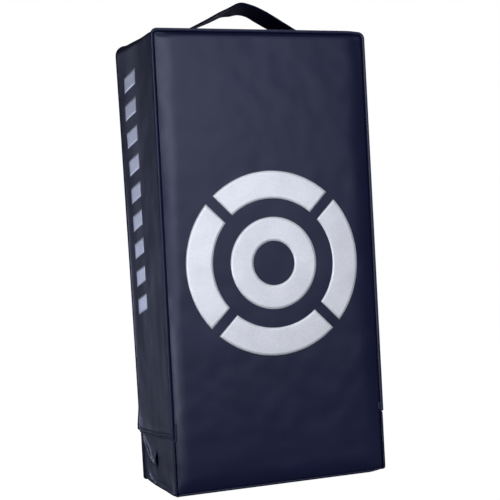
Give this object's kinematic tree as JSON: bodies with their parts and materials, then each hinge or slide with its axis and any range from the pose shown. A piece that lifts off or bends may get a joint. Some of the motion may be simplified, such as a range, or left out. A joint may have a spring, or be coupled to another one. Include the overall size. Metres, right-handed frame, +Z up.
{
  "type": "thai kick pad shield",
  "caption": "Tall foam-filled strike pad in a vinyl cover, with a webbing top handle, a back hand grip, forearm straps and a zip hidden in the bottom band.",
  "frame": {"origin": "middle of the flat bottom face that the pad stands on", "axes": "+X to the right seen from the strike face, +Y from the strike face to the back, +Z up"},
  "size_m": [0.3003, 0.2159, 0.6459],
  "materials": {
    "cover_vinyl": "semi-gloss embossed vinyl",
    "band_vinyl": "semi-gloss embossed vinyl",
    "firm_foam": "closed-cell foam, matte",
    "soft_foam": "open-cell foam, matte",
    "webbing": "woven polypropylene webbing",
    "hook_loop": "hook-and-loop tape",
    "zip_tape": "woven zip tape with nylon coil",
    "zip_metal": "satin die-cast zinc",
    "ring_wire": "nickel-plated welded wire",
    "grip_foam": "foam rubber tube",
    "print_ink": "metallic silver ink",
    "print_ink_side": "metallic silver ink"
  },
  "bodies": {
    "padded_body": {"front_panel": "cover_vinyl", "back_panel": "cover_vinyl", "main_gusset": "cover_vinyl", "zip_band_front": "band_vinyl", "zip_band_back": "band_vinyl", "zip_tape_front": "zip_tape", "zip_tape_back": "zip_tape", "zip_end_stops": "zip_metal", "front_foam": "firm_foam", "core_foam": "soft_foam", "back_foam": "firm_foam", "top_handle_end_left": "webbing", "top_handle_end_right": "webbing", "grip_end_left": "webbing", "grip_end_right": "webbing", "grip_patch_left": "band_vinyl", "grip_patch_right": "band_vinyl", "target_print": "print_ink", "side_print": "print_ink_side", "upper_strap": "webbing", "upper_strap_loop_tape": "hook_loop", "upper_strap_ring": "ring_wire", "upper_strap_ring_tab": "webbing", "upper_strap_patch_left": "band_vinyl", "upper_strap_patch_right": "band_vinyl", "lower_strap": "webbing", "lower_strap_loop_tape": "hook_loop", "lower_strap_ring": "ring_wire", "lower_strap_ring_tab": "webbing", "lower_strap_patch_left": "band_vinyl", "lower_strap_patch_right": "band_vinyl"},
    "top_handle": {"top_handle": "webbing"},
    "hand_grip": {"grip_webbing": "webbing", "grip_tube": "grip_foam", "grip_cover": "cover_vinyl"},
    "upper_tail": {"upper_strap_tail": "webbing", "upper_strap_hook_tape": "hook_loop"},
    "lower_tail": {"lower_strap_tail": "webbing", "lower_strap_hook_tape": "hook_loop"},
    "zip_slider": {"zip_slider": "zip_metal"},
    "zip_pull_tab": {"zip_pull_tab": "zip_metal"}
  },
  "joints": [
    {"name": "top_handle_swing", "type": "hinge", "parent": "padded_body", "child": "top_handle", "pos_m": [0, 0, 0.621], "axis": [1, 0, 0], "range_deg": [-55, 55], "stiffness_Nm_per_rad": 0.01},
    {"name": "grip_swing", "type": "hinge", "parent": "padded_body", "child": "hand_grip", "pos_m": [0, 0.087, 0.462], "axis": [1, 0, 0], "range_deg": [-45, 45], "stiffness_Nm_per_rad": 0.25},
    {"name": "upper_tail_peel", "type": "hinge", "parent": "padded_body", "child": "upper_tail", "pos_m": [0.06464, 0.09322, 0.342], "axis": [0, 0, -1], "range_deg": [0, 100]},
    {"name": "lower_tail_peel", "type": "hinge", "parent": "padded_body", "child": "lower_tail", "pos_m": [0.06464, 0.09322, 0.212], "axis": [0, 0, -1], "range_deg": [0, 100]},
    {"name": "zip_slider_travel", "type": "slide", "parent": "padded_body", "child": "zip_slider", "axis": [0, 0, -1], "range_m": [0, 0.03]},
    {"name": "zip_pull_swing", "type": "hinge", "parent": "zip_slider", "child": "zip_pull_tab", "pos_m": [-0.1424, 0.027, 0.057], "axis": [0, 1, 0], "range_deg": [0, 10]}
  ]
}
